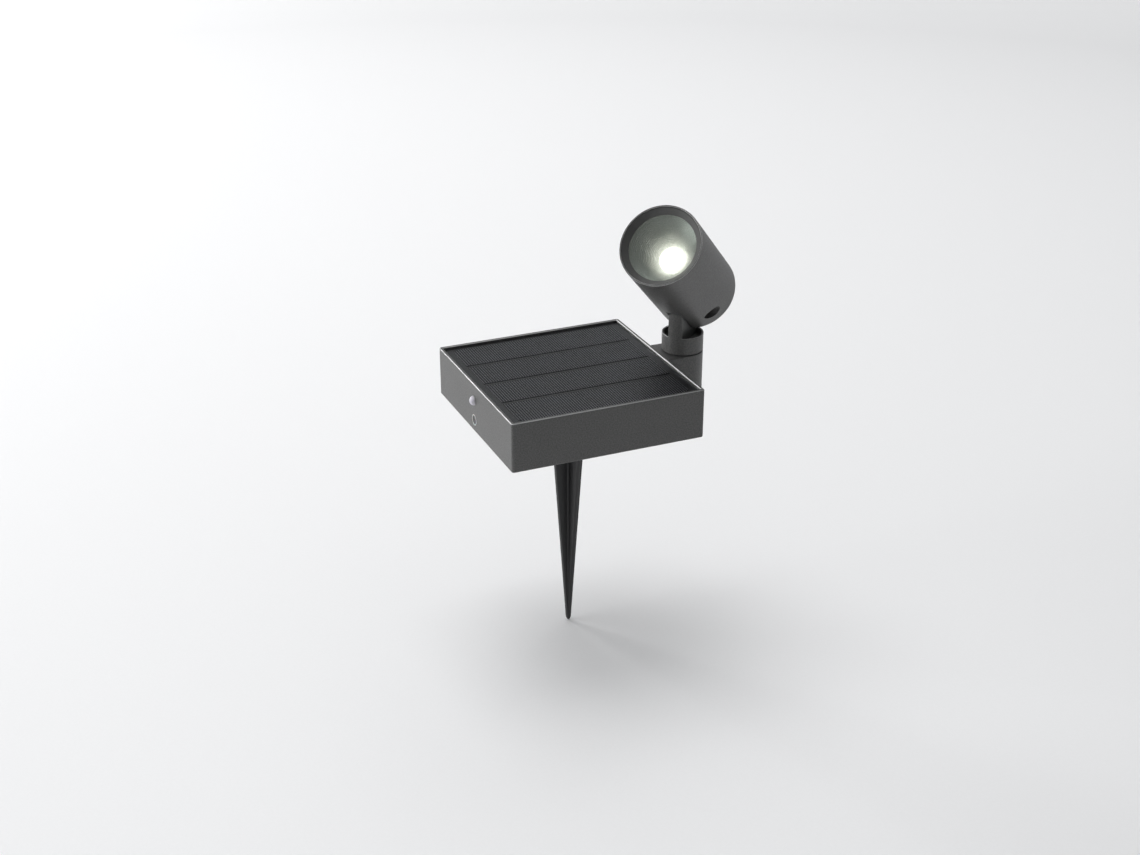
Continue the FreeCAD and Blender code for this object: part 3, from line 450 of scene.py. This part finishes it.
def emitter_glow():
    """Phosphor over a lit chip array: white, a touch warmer between its cells."""
    finish = Finish("emitter_glow", (0.9, 0.88, 0.8), 0.4)
    cells = finish.ramp(finish.grains(1.1 * MM), 0.2, 0.6)
    light = finish.blend(cells, (1.0, 1.0, 0.98), (1.0, 0.97, 0.86))
    finish.link(light, finish.shader.inputs["Emission Color"])
    finish.set("Emission Strength", 11.5)
    finish.bump(cells, 0.03 * MM)
    return finish.material


def clear_sheet(name, tint, roughness, wave, depth, gloss_flat, gloss_grazing):
    """Clear sheet that lamps shine through, glossier at a slant on both of its faces."""
    finish = Finish(name, (1, 1, 1), roughness)
    clear = finish.add("ShaderNodeBsdfTransparent")
    clear.inputs["Color"].default_value = (*tint, 1)
    gloss = finish.add("ShaderNodeBsdfGlossy")
    gloss.inputs["Roughness"].default_value = roughness
    slant = finish.add("ShaderNodeLayerWeight")
    slant.inputs["Blend"].default_value = 0.5
    steep = finish.add("ShaderNodeMath", operation="POWER")
    steep.inputs[1].default_value = 5.0
    finish.link(slant.outputs["Facing"], steep.inputs[0])
    share = finish.add("ShaderNodeMapRange")
    share.inputs["To Min"].default_value = gloss_flat
    share.inputs["To Max"].default_value = gloss_grazing
    finish.link(steep.outputs["Value"], share.inputs["Value"])
    bump = finish.add("ShaderNodeBump")
    bump.inputs["Distance"].default_value = depth
    finish.link(finish.noise(wave, 2.0), bump.inputs["Height"])
    finish.link(bump.outputs["Normal"], gloss.inputs["Normal"])
    both = finish.add("ShaderNodeMixShader")
    finish.link(share.outputs["Result"], both.inputs["Fac"])
    finish.link(clear.outputs["BSDF"], both.inputs[1])
    finish.link(gloss.outputs["BSDF"], both.inputs[2])
    finish.link(both.outputs["Shader"], finish.output.inputs["Surface"])
    finish.tree.nodes.remove(finish.shader)
    return finish.material


def dome_white():
    """Milky polyethylene that lets heat and a little light in."""
    colour = (0.50, 0.485, 0.54)
    finish = Finish("dome_white", colour, 0.34, Subsurface_Weight=0.6, Subsurface_Scale=0.002)
    finish.set("Subsurface Radius", (1.0, 0.9, 1.1))
    finish.colours(finish.noise(1.5 * MM), shade(colour, 0.97), shade(colour, 1.03))
    finish.bump(finish.noise(0.5 * MM), 0.006 * MM)
    return finish.material


SEAL_RUBBER = plain_finish("seal_rubber", (0.02, 0.02, 0.021), 0.72,
                           6 * MM, 0.5 * MM, 0.02 * MM)
BEARING = plain_finish("bearing_plastic", (0.62, 0.61, 0.58), 0.45,
                       5 * MM, 0.4 * MM, 0.006 * MM)
COVER = plain_finish("cover_plastic", (0.03, 0.03, 0.031), 0.6,
                     14 * MM, 0.55 * MM, 0.03 * MM)
BACKING = plain_finish("panel_board", (0.009, 0.009, 0.01), 0.4,
                       9 * MM, 0.4 * MM, 0.008 * MM)
BLACK_PARTS = plain_finish("component_black", (0.03, 0.03, 0.032), 0.55,
                           3 * MM, 0.3 * MM, 0.01 * MM)
CRADLE = plain_finish("cradle_plastic", (0.05, 0.05, 0.052), 0.6,
                      10 * MM, 0.5 * MM, 0.02 * MM)
RING = plain_finish("ring_grey", (0.55, 0.56, 0.56), 0.35,
                    2 * MM, 0.3 * MM, 0.005 * MM,
                    Subsurface_Weight=0.3, Subsurface_Scale=0.001)
BUTTON = plain_finish("button_black", (0.05, 0.05, 0.05), 0.6,
                      2 * MM, 0.4 * MM, 0.02 * MM)
BEZEL = plain_finish("bezel_black", (0.052, 0.052, 0.051), 0.5,
                     8 * MM, 0.4 * MM, 0.015 * MM)
WHITE_BOARD = plain_finish("emitter_board_white", (0.75, 0.75, 0.73), 0.4,
                           4 * MM, 0.3 * MM, 0.006 * MM)
HOUSING_COAT = powder_coat("housing_coat", UP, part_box("housing")[1].z, 0.6 * MM,
                           -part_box("housing")[0].y)
NECK_COAT = powder_coat("neck_coat", UP, NECK_RIM, 0.35 * MM)
HEAD_COAT = powder_coat("head_coat", BEAM, HEAD_RIM, 0.35 * MM)
SPIKE = spike_plastic()
CELLS = solar_cells()
FINGERS = plain_finish("cell_fingers", (0.235, 0.235, 0.24), 0.4,
                       3 * MM, 0.2 * MM, 0.004 * MM, Metallic=0.3)
STEEL = brushed_metal("plated_steel", (0.58, 0.58, 0.56), 0.3, 1.2 * MM, (1, 1, 0.08))
BRASS = brushed_metal("insert_brass", (0.66, 0.49, 0.24), 0.3, 1.2 * MM, (1, 1, 0.08))
NICKEL = brushed_metal("contact_metal", (0.62, 0.6, 0.55), 0.28, 1.0 * MM, (1, 0.1, 1))
CAN = brushed_metal("component_can", (0.6, 0.6, 0.61), 0.32, 1.0 * MM, (1, 1, 0.1))
SPREADER = brushed_metal("spreader_aluminium", (0.62, 0.63, 0.64), 0.4, 1.6 * MM, (1, 0.08, 1))
GREEN_BOARD = board_material("board_green", (0.012, 0.09, 0.04), (0.03, 0.17, 0.075))
WRAP = battery_wrap()
REFLECTOR = reflector_satin()
GLOW = emitter_glow()
DOME = dome_white()
FRONT_GLASS = clear_sheet("front_glass", (0.93, 0.955, 0.94), 0.03, 20 * MM, 0.01 * MM,
                          0.03, 0.8)
PANEL_CLEAR = clear_sheet("panel_clear", (0.95, 0.955, 0.96), 0.16, 1.3 * MM, 0.008 * MM,
                          0.008, 0.22)

CAD_FINISHES = {
    HOUSING_COAT: ("housing",),
    NECK_COAT: ("neck",),
    HEAD_COAT: ("head_housing",),
    BEZEL: ("front_bezel",),
    COVER: ("bottom_cover",),
    SEAL_RUBBER: ("panel_seal", "bottom_gasket", "button_seal", "glass_seal", "lead_grommet"),
    BEARING: ("swivel_bush",),
    STEEL: ("cover_screws", "board_screws", "sensor_screws", "emitter_screws", "spreader_screws",
            "spike_stud", "swivel_tube", "swivel_washer", "swivel_nut", "tilt_screw", "tilt_nut",
            "tilt_washers"),
    BRASS: ("spike_insert",),
    BACKING: ("panel_backing",),
    PANEL_CLEAR: ("panel_cover",),
    CRADLE: ("battery_cradle",),
    WRAP: ("battery_cells",),
    NICKEL: ("battery_contacts",),
    GREEN_BOARD: ("control_board", "sensor_board"),
    BLACK_PARTS: ("glide_ring", "wire_connectors", "tact_switch", "switch_plunger",
                  "board_inductor"),
    CAN: ("board_capacitors", "pir_sensor"),
    RING: ("button_ring",),
    BUTTON: ("power_button",),
    SPREADER: ("heat_spreader",),
    WHITE_BOARD: ("emitter_board",),
    FRONT_GLASS: ("front_glass",),
}


def finish_cad_nodes():
    """Give the CAD nodes that stay visible their materials."""
    for material, names in CAD_FINISHES.items():
        for name in names:
            for slot in nodes[name].material_slots:
                slot.material = material


# --- solar panel ---------------------------------------------------------------------

STRIPS = 4
STRIP_GAP = 2.6 * MM
CORNER_CUT = 4 * MM
FINGERS_PER_STRIP = 69
FINGER_WIDTH = 0.28 * MM
FINGER_HEIGHT = 0.03 * MM
FINGER_MARGIN = 0.8 * MM
FINGER_PROFILE = ((-0.5, 0.0), (0.5, 0.0), (0.3, 1.0), (-0.3, 1.0))
CELL_CLEARANCE = 0.06 * MM
CELL_BEVEL = 0.05 * MM


def strip_spans():
    """Where each strip of cell starts and ends along X, and the corners of the cells' box."""
    low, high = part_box("solar_cells")
    width = (high.x - low.x - STRIP_GAP * (STRIPS - 1)) / STRIPS
    starts = [low.x + (width + STRIP_GAP) * number for number in range(STRIPS)]
    return [(start, start + width) for start in starts], low, high


def strip_outline(number, left, right, near, far):
    """Corners of a strip; the array's outer corners are cut off."""
    cut_left = CORNER_CUT if number == 0 else 0.0
    cut_right = CORNER_CUT if number == STRIPS - 1 else 0.0
    return [(left + cut_left, near), (right - cut_right, near), (right, near + cut_right),
            (right, far - cut_right), (right - cut_right, far), (left + cut_left, far),
            (left, far - cut_left), (left, near + cut_left)]


def make_cells():
    """Strips of cell with bevelled top edges; returns the height of their top."""
    spans, low, high = strip_spans()
    top = high.z - CELL_CLEARANCE
    mesh = bmesh.new()
    for number, (left, right) in enumerate(spans):
        corners = list(dict.fromkeys(strip_outline(number, left, right, low.y, high.y)))
        centre = Vector(((left + right) / 2, (low.y + high.y) / 2, 0))
        sections = []
        for height, inset in ((low.z, 0.0), (top - CELL_BEVEL, 0.0), (top, CELL_BEVEL)):
            ring = []
            for x, y in corners:
                inward = Vector((math.copysign(inset, centre.x - x),
                                 math.copysign(inset, centre.y - y), 0))
                ring.append(Vector((x, y, height)) + inward)
            sections.append(ring)
        add_loft(mesh, sections)
    cells = finished("cell_strips", mesh, "housing", CELLS)
    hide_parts("solar_cells")
    return top


def make_fingers(top):
    """Printed silver lines across every strip, each a low ridge."""
    spans, low, high = strip_spans()
    mesh = bmesh.new()
    pitch = (high.y - low.y - 2 * FINGER_MARGIN) / (FINGERS_PER_STRIP - 1)
    for number, (left, right) in enumerate(spans):
        for line in range(FINGERS_PER_STRIP):
            y = low.y + FINGER_MARGIN + pitch * line
            to_corner = min(y - low.y, high.y - y)
            cut = max(0.0, CORNER_CUT - to_corner)
            start = left + FINGER_MARGIN + (cut if number == 0 else 0.0)
            end = right - FINGER_MARGIN - (cut if number == STRIPS - 1 else 0.0)
            sections = []
            for x in (start, end):
                sections.append([Vector((x, y + across * FINGER_WIDTH, top + rise * FINGER_HEIGHT))
                                 for across, rise in FINGER_PROFILE])
            add_loft(mesh, sections)
    finished("cell_fingers", mesh, "housing", FINGERS)


# --- ground spike --------------------------------------------------------------------

SPIKE_THICK = 3 * MM
SPIKE_SECTIONS = 40
RIB_EDGE = 0.55 * MM
ROOT_ROUND = 1.4 * MM
COLLAR_ROUND = 0.8 * MM
COLLAR_LOW = -10 * MM
COLLAR_OVERLAP = 0.5 * MM
ROOT_REACH = 15.4 * MM
TIP_REACH = 1.9 * MM
TIP_LENGTH = 5 * MM
TIP_SHAPE = ((0.35, 0.9), (0.7, 0.68), (0.9, 0.42), (1.0, 0.12))
BOSS_RADIUS = 9.5 * MM
CORE_RADIUS = 8.2 * MM
BOSS_SLOPE = 0.9 * MM
CORE_LENGTH = 34 * MM
RIBS_BELOW_STUD = 10 * MM
RIBS_MEASURED_TO = 60 * MM


def rib_angle():
    """How far the spike is turned about Z, from the corner of it that lies furthest along X."""
    stud_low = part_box("spike_stud")[0].z
    widest = max((vertex.co for vertex in nodes["ground_spike"].data.vertices
                  if stud_low - RIBS_MEASURED_TO < vertex.co.z < stud_low - RIBS_BELOW_STUD),
                 key=lambda point: point.x)
    return math.atan2(widest.y, widest.x)


def rib_section(reach, thick, height, turn):
    """A cross with rounded rib ends and rounded roots, as points of one level ring."""
    half = thick / 2
    edge = min(RIB_EDGE, half * 0.9, max(reach - half, 0.02 * MM))
    root = min(ROOT_ROUND, max(reach - half - edge, 0.01 * MM) * 0.6)
    quarter = arc((reach - edge, -half + edge), edge, -90, 0, 4)
    quarter += arc((reach - edge, half - edge), edge, 0, 90, 4)
    quarter += arc((half + root, half + root), root, 270, 180, 6)
    ring = []
    for corner in range(4):
        spin = Matrix.Rotation(turn + math.pi / 2 * corner, 3, "Z")
        ring += [spin @ Vector((x, y, height)) for x, y in quarter]
    return ring


def make_spike():
    """Ribs that taper to a rounded tip, under a round collar with a core that runs to a point."""
    low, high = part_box("ground_spike")
    turn = rib_angle()
    radius = high.x
    tip_start = low.z + TIP_LENGTH
    sections = []
    for step in range(SPIKE_SECTIONS + 1):
        share = step / SPIKE_SECTIONS
        height = COLLAR_LOW + COLLAR_OVERLAP + (tip_start - COLLAR_LOW) * share
        reach = ROOT_REACH + (TIP_REACH - ROOT_REACH) * share
        sections.append(rib_section(reach, SPIKE_THICK, height, turn))
    for share, width in TIP_SHAPE:
        height = tip_start + (low.z - tip_start) * share
        sections.append(rib_section(TIP_REACH * width, SPIKE_THICK * width, height, turn))
    mesh = bmesh.new()
    add_loft(mesh, sections)
    collar = [(0, high.z), (radius, high.z)]
    collar += arc((radius - COLLAR_ROUND, COLLAR_LOW + COLLAR_ROUND), COLLAR_ROUND, 0, -90, 6)
    collar += [(BOSS_RADIUS, COLLAR_LOW), (CORE_RADIUS, COLLAR_LOW - BOSS_SLOPE),
               (0, COLLAR_LOW - CORE_LENGTH)]
    add_turned(mesh, collar, Matrix.Identity(4))
    spike = finished("spike_body", mesh, "housing", SPIKE)
    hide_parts("ground_spike")


# --- front controls ------------------------------------------------------------------

DOME_RADIUS = 3.6 * MM
DOME_WALL = 0.6 * MM
DOME_FULLNESS = 0.9
FLANGE_THICK = 0.8 * MM


def make_dome():
    """The white sensor dome, a hollow flattened half ball on a flange behind the wall."""
    low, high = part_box("pir_lens")
    centre = (low + high) / 2
    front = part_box("housing")[0].y
    place = axes(Vector((centre.x, front, centre.z)), FRONT, Vector((1, 0, 0)))
    reach = front - low.y
    flange = (high.z - low.z) / 2
    back = -(high.y - front)
    inner_radius = DOME_RADIUS - DOME_WALL
    inner_reach = reach - DOME_WALL
    profile = [(inner_radius, back), (flange, back), (flange, back + FLANGE_THICK),
               (DOME_RADIUS, back + FLANGE_THICK)]
    profile += [(DOME_RADIUS * across ** DOME_FULLNESS, reach * rise)
                for across, rise in bow(range(0, 90, 6))]
    profile += [(0, reach), (0, inner_reach)]
    profile += [(inner_radius * across, inner_reach * rise)
                for across, rise in bow(range(84, -1, -12))]
    mesh = bmesh.new()
    add_turned(mesh, profile, place, SMALL_TURN_STEPS)
    dome = finished("sensor_dome", mesh, "housing", DOME)
    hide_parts("pir_lens")


# --- lamp ----------------------------------------------------------------------------

DISH_STEPS = 180
BACK_STEPS = 14
DISH_WALL = 1 * MM
DISH_FOOT = 0.4 * MM
DISH_GAP = 0.2 * MM
BACK_OFFSET = DISH_WALL * 0.8
DISH_FLARE = 1.25
DISH_RIDGE = 0.1 * MM
DISH_RIDGES = 20
DIMPLE = 0.08 * MM
DIMPLE_SIZE = 1.4 * MM


def dish_ripple(point):
    """Push the dish in and out a little, so that its gloss breaks up."""
    depth = noise.noise(point / DIMPLE_SIZE) * DIMPLE
    outward = Vector((point.x, point.y, 0)).normalized()
    return point + outward * depth


def make_reflector():
    """Spun dish with fine turning ridges that fan the emitter's glow out along its radius."""
    low, high, throat, mouth = measure("reflector", LAMP_AT, BEAM)
    mouth -= DISH_WALL
    foot = low + DISH_FOOT
    top = high - DISH_GAP

    def wall_points(steps, ridge, wall, drop):
        """The flared wall from foot to mouth, set back by wall and drop, with its ridges."""
        points = []
        for step in range(steps + 1):
            rise = step / steps
            wave = ridge * math.sin(2 * math.pi * DISH_RIDGES * rise)
            radius = throat + (mouth - throat) * rise ** DISH_FLARE + wave + wall
            points.append((radius, foot + (top - foot) * rise - drop))
        return points

    inside = wall_points(DISH_STEPS, DISH_RIDGE, 0.0, 0.0)
    outside = wall_points(BACK_STEPS, 0.0, BACK_OFFSET, DISH_GAP)
    outside[0] = (throat + BACK_OFFSET, low)
    mesh = bmesh.new()
    profile = inside + outside[::-1] + [(throat, low)]
    add_turned(mesh, profile, LAMP, TURN_STEPS, dish_ripple)
    dish = finished("reflector_dish", mesh, "head", REFLECTOR)
    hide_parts("reflector")


def make_emitter():
    """Round emitter: a lit disc with a crown."""
    low, high, _, radius = measure("led_emitter", LAMP_AT, BEAM)
    crown = [(radius * across, low + (high - low) * (0.5 + 0.5 * rise))
             for across, rise in bow(range(0, 90, 15))]
    mesh = bmesh.new()
    add_turned(mesh, [(0, low), (radius, low)] + crown + [(0, high)], LAMP, SMALL_TURN_STEPS)
    disc = finished("emitter_disc", mesh, "head", GLOW)
    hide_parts("led_emitter")


# --- camera, floor and light ---------------------------------------------------------

CAMERA_AT = Vector((1.0875, -0.4693, 0.5509))
CAMERA_AZIMUTH = math.radians(66.601)
CAMERA_ELEVATION = math.radians(25.372)
CAMERA_ROLL = math.radians(0.067)
CAMERA_LENS = 55.05
CLIP_START = 0.01
SENSOR_WIDTH = 36.0
PALE = (0.94, 0.94, 0.945, 1)


def make_camera():
    """Look down at the object from its +X side, a little to the front."""
    data = bpy.data.cameras.new("camera")
    data.sensor_width = SENSOR_WIDTH
    data.lens = CAMERA_LENS
    data.clip_start = CLIP_START
    camera = bpy.data.objects.new("camera", data)
    bpy.context.scene.collection.objects.link(camera)
    camera.rotation_mode = "QUATERNION"
    level = math.cos(CAMERA_ELEVATION)
    back = Vector((math.sin(CAMERA_AZIMUTH) * level, -math.cos(CAMERA_AZIMUTH) * level,
                   math.sin(CAMERA_ELEVATION)))
    roll = Matrix.Rotation(CAMERA_ROLL, 3, back)
    aim = (-back).to_track_quat("-Z", "Y").to_matrix()
    camera.location = CAMERA_AT
    camera.rotation_quaternion = (roll @ aim).to_quaternion()
    bpy.context.scene.camera = camera


FLOOR_RADIUS = 7.0
FLOOR_SIDES = 96
LIT_FLOOR = 2.2


def make_floor():
    """A wide pale disc under the spike's tip, glowing more and more from LIT_FLOOR outward."""
    mesh = bmesh.new()
    bmesh.ops.create_circle(mesh, cap_ends=True, segments=FLOOR_SIDES, radius=FLOOR_RADIUS)
    data = bpy.data.meshes.new("floor")
    mesh.to_mesh(data)
    mesh.free()
    floor = bpy.data.objects.new("floor", data)
    floor.location.z = cad_low.z
    bpy.context.scene.collection.objects.link(floor)
    finish = Finish("floor", (0.84, 0.84, 0.845), 0.75, Specular_IOR_Level=0.2,
                    Emission_Color=PALE)
    finish.colours(finish.noise(2.2 * MM, 3.0), (0.825, 0.825, 0.83), (0.855, 0.855, 0.86))
    finish.bump(finish.noise(1.4 * MM, 2.0), 0.05 * MM)
    distance = finish.add("ShaderNodeVectorMath", operation="LENGTH")
    finish.link(finish.place, distance.inputs[0])
    lift = finish.ramp(distance.outputs["Value"], LIT_FLOOR, FLOOR_RADIUS)
    finish.link(lift, finish.shader.inputs["Emission Strength"])
    data.materials.append(finish.material)


# Name, direction from the object, distance, width, height and power of each lamp.
SOFTBOXES = (
    ("side_softbox", (-0.3, -0.92, 0.2), 4.0, 2.9, 1.64, 106),
    ("top_softbox", (-0.27, -0.08, 1.0), 4.0, 2.3, 2.3, 64),
    ("back_softbox", (-2.0, 0.9, 2.3), 3.2, 2.5, 1.6, 13),
    ("rim_softbox", (-0.83, -0.41, 0.34), 4.0, 1.2, 0.7, 42),
)


def make_lamp(name, towards, distance, width, height, power):
    """A soft rectangular lamp that hangs in a direction from the object and faces it."""
    data = bpy.data.lights.new(name, "AREA")
    data.shape = "RECTANGLE"
    data.size = width
    data.size_y = height
    data.energy = power
    lamp = bpy.data.objects.new(name, data)
    centre = (cad_low + cad_high) / 2
    direction = Vector(towards).normalized()
    lamp.location = centre + direction * distance
    lamp.rotation_mode = "QUATERNION"
    lamp.rotation_quaternion = (-direction).to_track_quat("-Z", "Y")
    bpy.context.scene.collection.objects.link(lamp)


SKY = (0.97, 0.985, 1.0, 1)
HORIZON_LIGHT = 0.12
ZENITH_LIGHT = 0.5


def make_world():
    """Pale where the camera looks past the floor, dimmer as a source of light."""
    world = bpy.data.worlds.new("studio")
    bpy.context.scene.world = world
    world.use_nodes = True
    tree = world.node_tree
    dim = tree.nodes["Background"]
    dim.inputs["Color"].default_value = SKY
    place = tree.nodes.new("ShaderNodeTexCoord")
    split = tree.nodes.new("ShaderNodeSeparateXYZ")
    rise = tree.nodes.new("ShaderNodeMapRange")
    rise.inputs["To Min"].default_value = HORIZON_LIGHT
    rise.inputs["To Max"].default_value = ZENITH_LIGHT
    tree.links.new(place.outputs["Generated"], split.inputs["Vector"])
    tree.links.new(split.outputs["Z"], rise.inputs["Value"])
    tree.links.new(rise.outputs["Result"], dim.inputs["Strength"])
    pale = tree.nodes.new("ShaderNodeBackground")
    pale.inputs["Color"].default_value = PALE
    seen = tree.nodes.new("ShaderNodeLightPath")
    both = tree.nodes.new("ShaderNodeMixShader")
    tree.links.new(seen.outputs["Is Camera Ray"], both.inputs["Fac"])
    tree.links.new(dim.outputs["Background"], both.inputs[1])
    tree.links.new(pale.outputs["Background"], both.inputs[2])
    tree.links.new(both.outputs["Shader"], tree.nodes["World Output"].inputs["Surface"])


def make_studio():
    """Soft lamps round the object, in a dim pale room."""
    bpy.context.scene.view_settings.view_transform = "Standard"
    make_world()
    for softbox in SOFTBOXES:
        make_lamp(*softbox)


make_camera()
finish_cad_nodes()
cell_top = make_cells()
make_fingers(cell_top)
make_spike()
make_dome()
make_reflector()
make_emitter()
make_floor()
make_studio()
